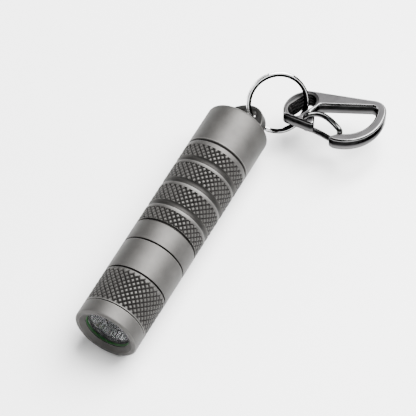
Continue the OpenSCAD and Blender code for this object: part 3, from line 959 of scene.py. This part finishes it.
def make_gate():
    """The sprung wire gate, bent from one wire."""
    points = gate_leg(GATE_ARCH, GATE_LEG) + gate_leg(GATE_SAG, -GATE_LEG)[::-1]
    path = []
    for i, (point, heading) in enumerate(points):
        along = Vector(points[min(i + 1, len(points) - 1)][0]) - Vector(points[max(i - 1, 0)][0])
        side = Vector((-heading.y, heading.x, 0))
        path.append((point, side, along.normalized().cross(side)))
    verts, faces = sweep(path, arc((0, 0), GATE_R, 0, 360 - 360 / ROUND_WIRE, ROUND_WIRE - 1))
    relief = [0.0] * len(verts)
    finish_mesh("clip_gate_wire", moved(verts, CLIP_PLACE), faces, relief, [GATE], "gate",
                ["clip_gate"])


def eye_loop(r, lean):
    """The long eye hole at one height, shifted towards its near wall by lean."""
    turn = Matrix.Rotation(EYE_TURN, 2)
    ends = arc((EYE_HALF, -lean), r, -90, 90, 24) + arc((-EYE_HALF, -lean), r, 90, 270, 24)
    return [tuple(Vector(EYE) + turn @ Vector(p)) for p in ends]


def make_clip():
    """The cast clip plate with its chamfered eye: satin faces, polished walls."""
    rounding, thinnest, spare = 0.6, 0.06, 0.05
    pin = arc(GATE_PIVOT, GATE_R + 0.06, 0, 360 - 360 / ROUND_WIRE, ROUND_WIRE - 1)
    rim = eye_loop(EYE_R, 0)
    eye = (rim, EYE_CHAMFER, 1, eye_loop(EYE_R - EYE_LEAN, EYE_LEAN))
    outline = clip_outline()
    room = [min(math.dist(p, q) for q in rim) - EYE_CHAMFER - spare for p in outline]
    edges = [min(rounding, max(thinnest, gap)) for gap in room]  # narrower where the eye leaves little room
    loops = [(outline, edges, 6, None), eye, (pin, 0.1, 2, None)]
    # the walls' lower halves get a painted reflection, and their edges a painted highlight
    verts, faces, relief, slots = plate(loops, CLIP_T, wall_slots=(1, 2, 1), wall_sheen=0.55)
    finish_mesh("clip_plate", moved(verts, CLIP_PLACE), faces, relief, [SATIN, GLOSS, RIDGED], "clip",
                ["clip_body"], face_slots=slots)


make_gate()
make_clip()

# ---------------------------------------------------------------- inner pieces that keep their CAD shape

PAINT = {
    "led_spacer": PLASTIC, "led_emitter": PHOSPHOR, "led_board": BOARD_WHITE, "positive_lead": RED_LEAD,
    "negative_lead": BLACK_LEAD, "driver_board": BOARD_GREEN, "driver_ring": BRASS, "contact_post": GOLD,
    "head_oring": RUBBER, "tail_oring": RUBBER, "cell_can": CELL_CAN, "cell_wrapper": CELL_WRAP,
    "cell_insulator": PLASTIC, "cell_button": GOLD, "usb_socket": SOCKET, "tail_spring": GOLD,
    "tail_board": BOARD_GREEN, "tail_board_ring": BRASS,
}
for node, material in PAINT.items():
    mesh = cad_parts[node].data
    mesh.materials.clear()
    mesh.materials.append(material)

# ---------------------------------------------------------------- floor and light


def make_floor():
    """A plain pale table top under the light."""
    grid = bmesh.new()
    bmesh.ops.create_grid(grid, x_segments=20, y_segments=20, size=1.5)
    mesh = bpy.data.meshes.new("floor")
    grid.to_mesh(mesh)
    grid.free()
    n = Nodes("pale_floor")
    n.colour(n.blend(n.spread(n.noise(6, 2), 0, 1), (0.86, 0.86, 0.86), (0.88, 0.88, 0.88)))
    n.rough(n.spread(n.noise(40, 2), 0.32, 0.40))
    mesh.materials.append(n.material)
    floor = bpy.data.objects.new("floor", mesh)
    clearance = 0.0002
    floor.location = (0, 0.03, cad_low.z - clearance)
    bpy.context.scene.collection.objects.link(floor)


def area_light(name, place, target, size, power):
    """A soft square light that faces a point."""
    data = bpy.data.lights.new(name, "AREA")
    data.shape, data.size, data.energy = "SQUARE", size, power
    light = bpy.data.objects.new(name, data)
    light.location = place
    light.rotation_euler = (Vector(target) - Vector(place)).to_track_quat("-Z", "Y").to_euler()
    bpy.context.scene.collection.objects.link(light)


def make_world():
    """Surroundings that are dark at the horizon and light overhead, like a light tent with black cards."""
    world = bpy.data.worlds.new("studio")
    world.use_nodes = True
    tree = world.node_tree
    place = tree.nodes.new("ShaderNodeTexCoord").outputs["Generated"]
    split = tree.nodes.new("ShaderNodeSeparateXYZ")
    ramp = tree.nodes.new("ShaderNodeMapRange")
    for name, number in (("From Min", 0.35), ("From Max", 0.75), ("To Min", 0.16), ("To Max", 0.9)):
        ramp.inputs[name].default_value = number
    tree.links.new(place, split.inputs["Vector"])
    tree.links.new(split.outputs["Z"], ramp.inputs["Value"])
    tree.links.new(ramp.outputs["Result"], tree.nodes["Background"].inputs["Strength"])
    bpy.context.scene.world = world


def make_studio():
    """A large strong light overhead, behind the tail and to the right, a weak one from the left, and one low
    at the front for the polished wire to mirror."""
    make_world()
    area_light("overhead", place=(0.22, 0.40, 0.74), target=(0, 0.03, 0), size=0.80, power=58)
    area_light("left_side", place=(-0.60, -0.20, 0.50), target=(0, 0.02, 0), size=0.40, power=4)
    area_light("front_right", place=(0.66, -0.60, 0.26), target=(0, 0.06, 0), size=0.50, power=1.6)


make_floor()
make_studio()
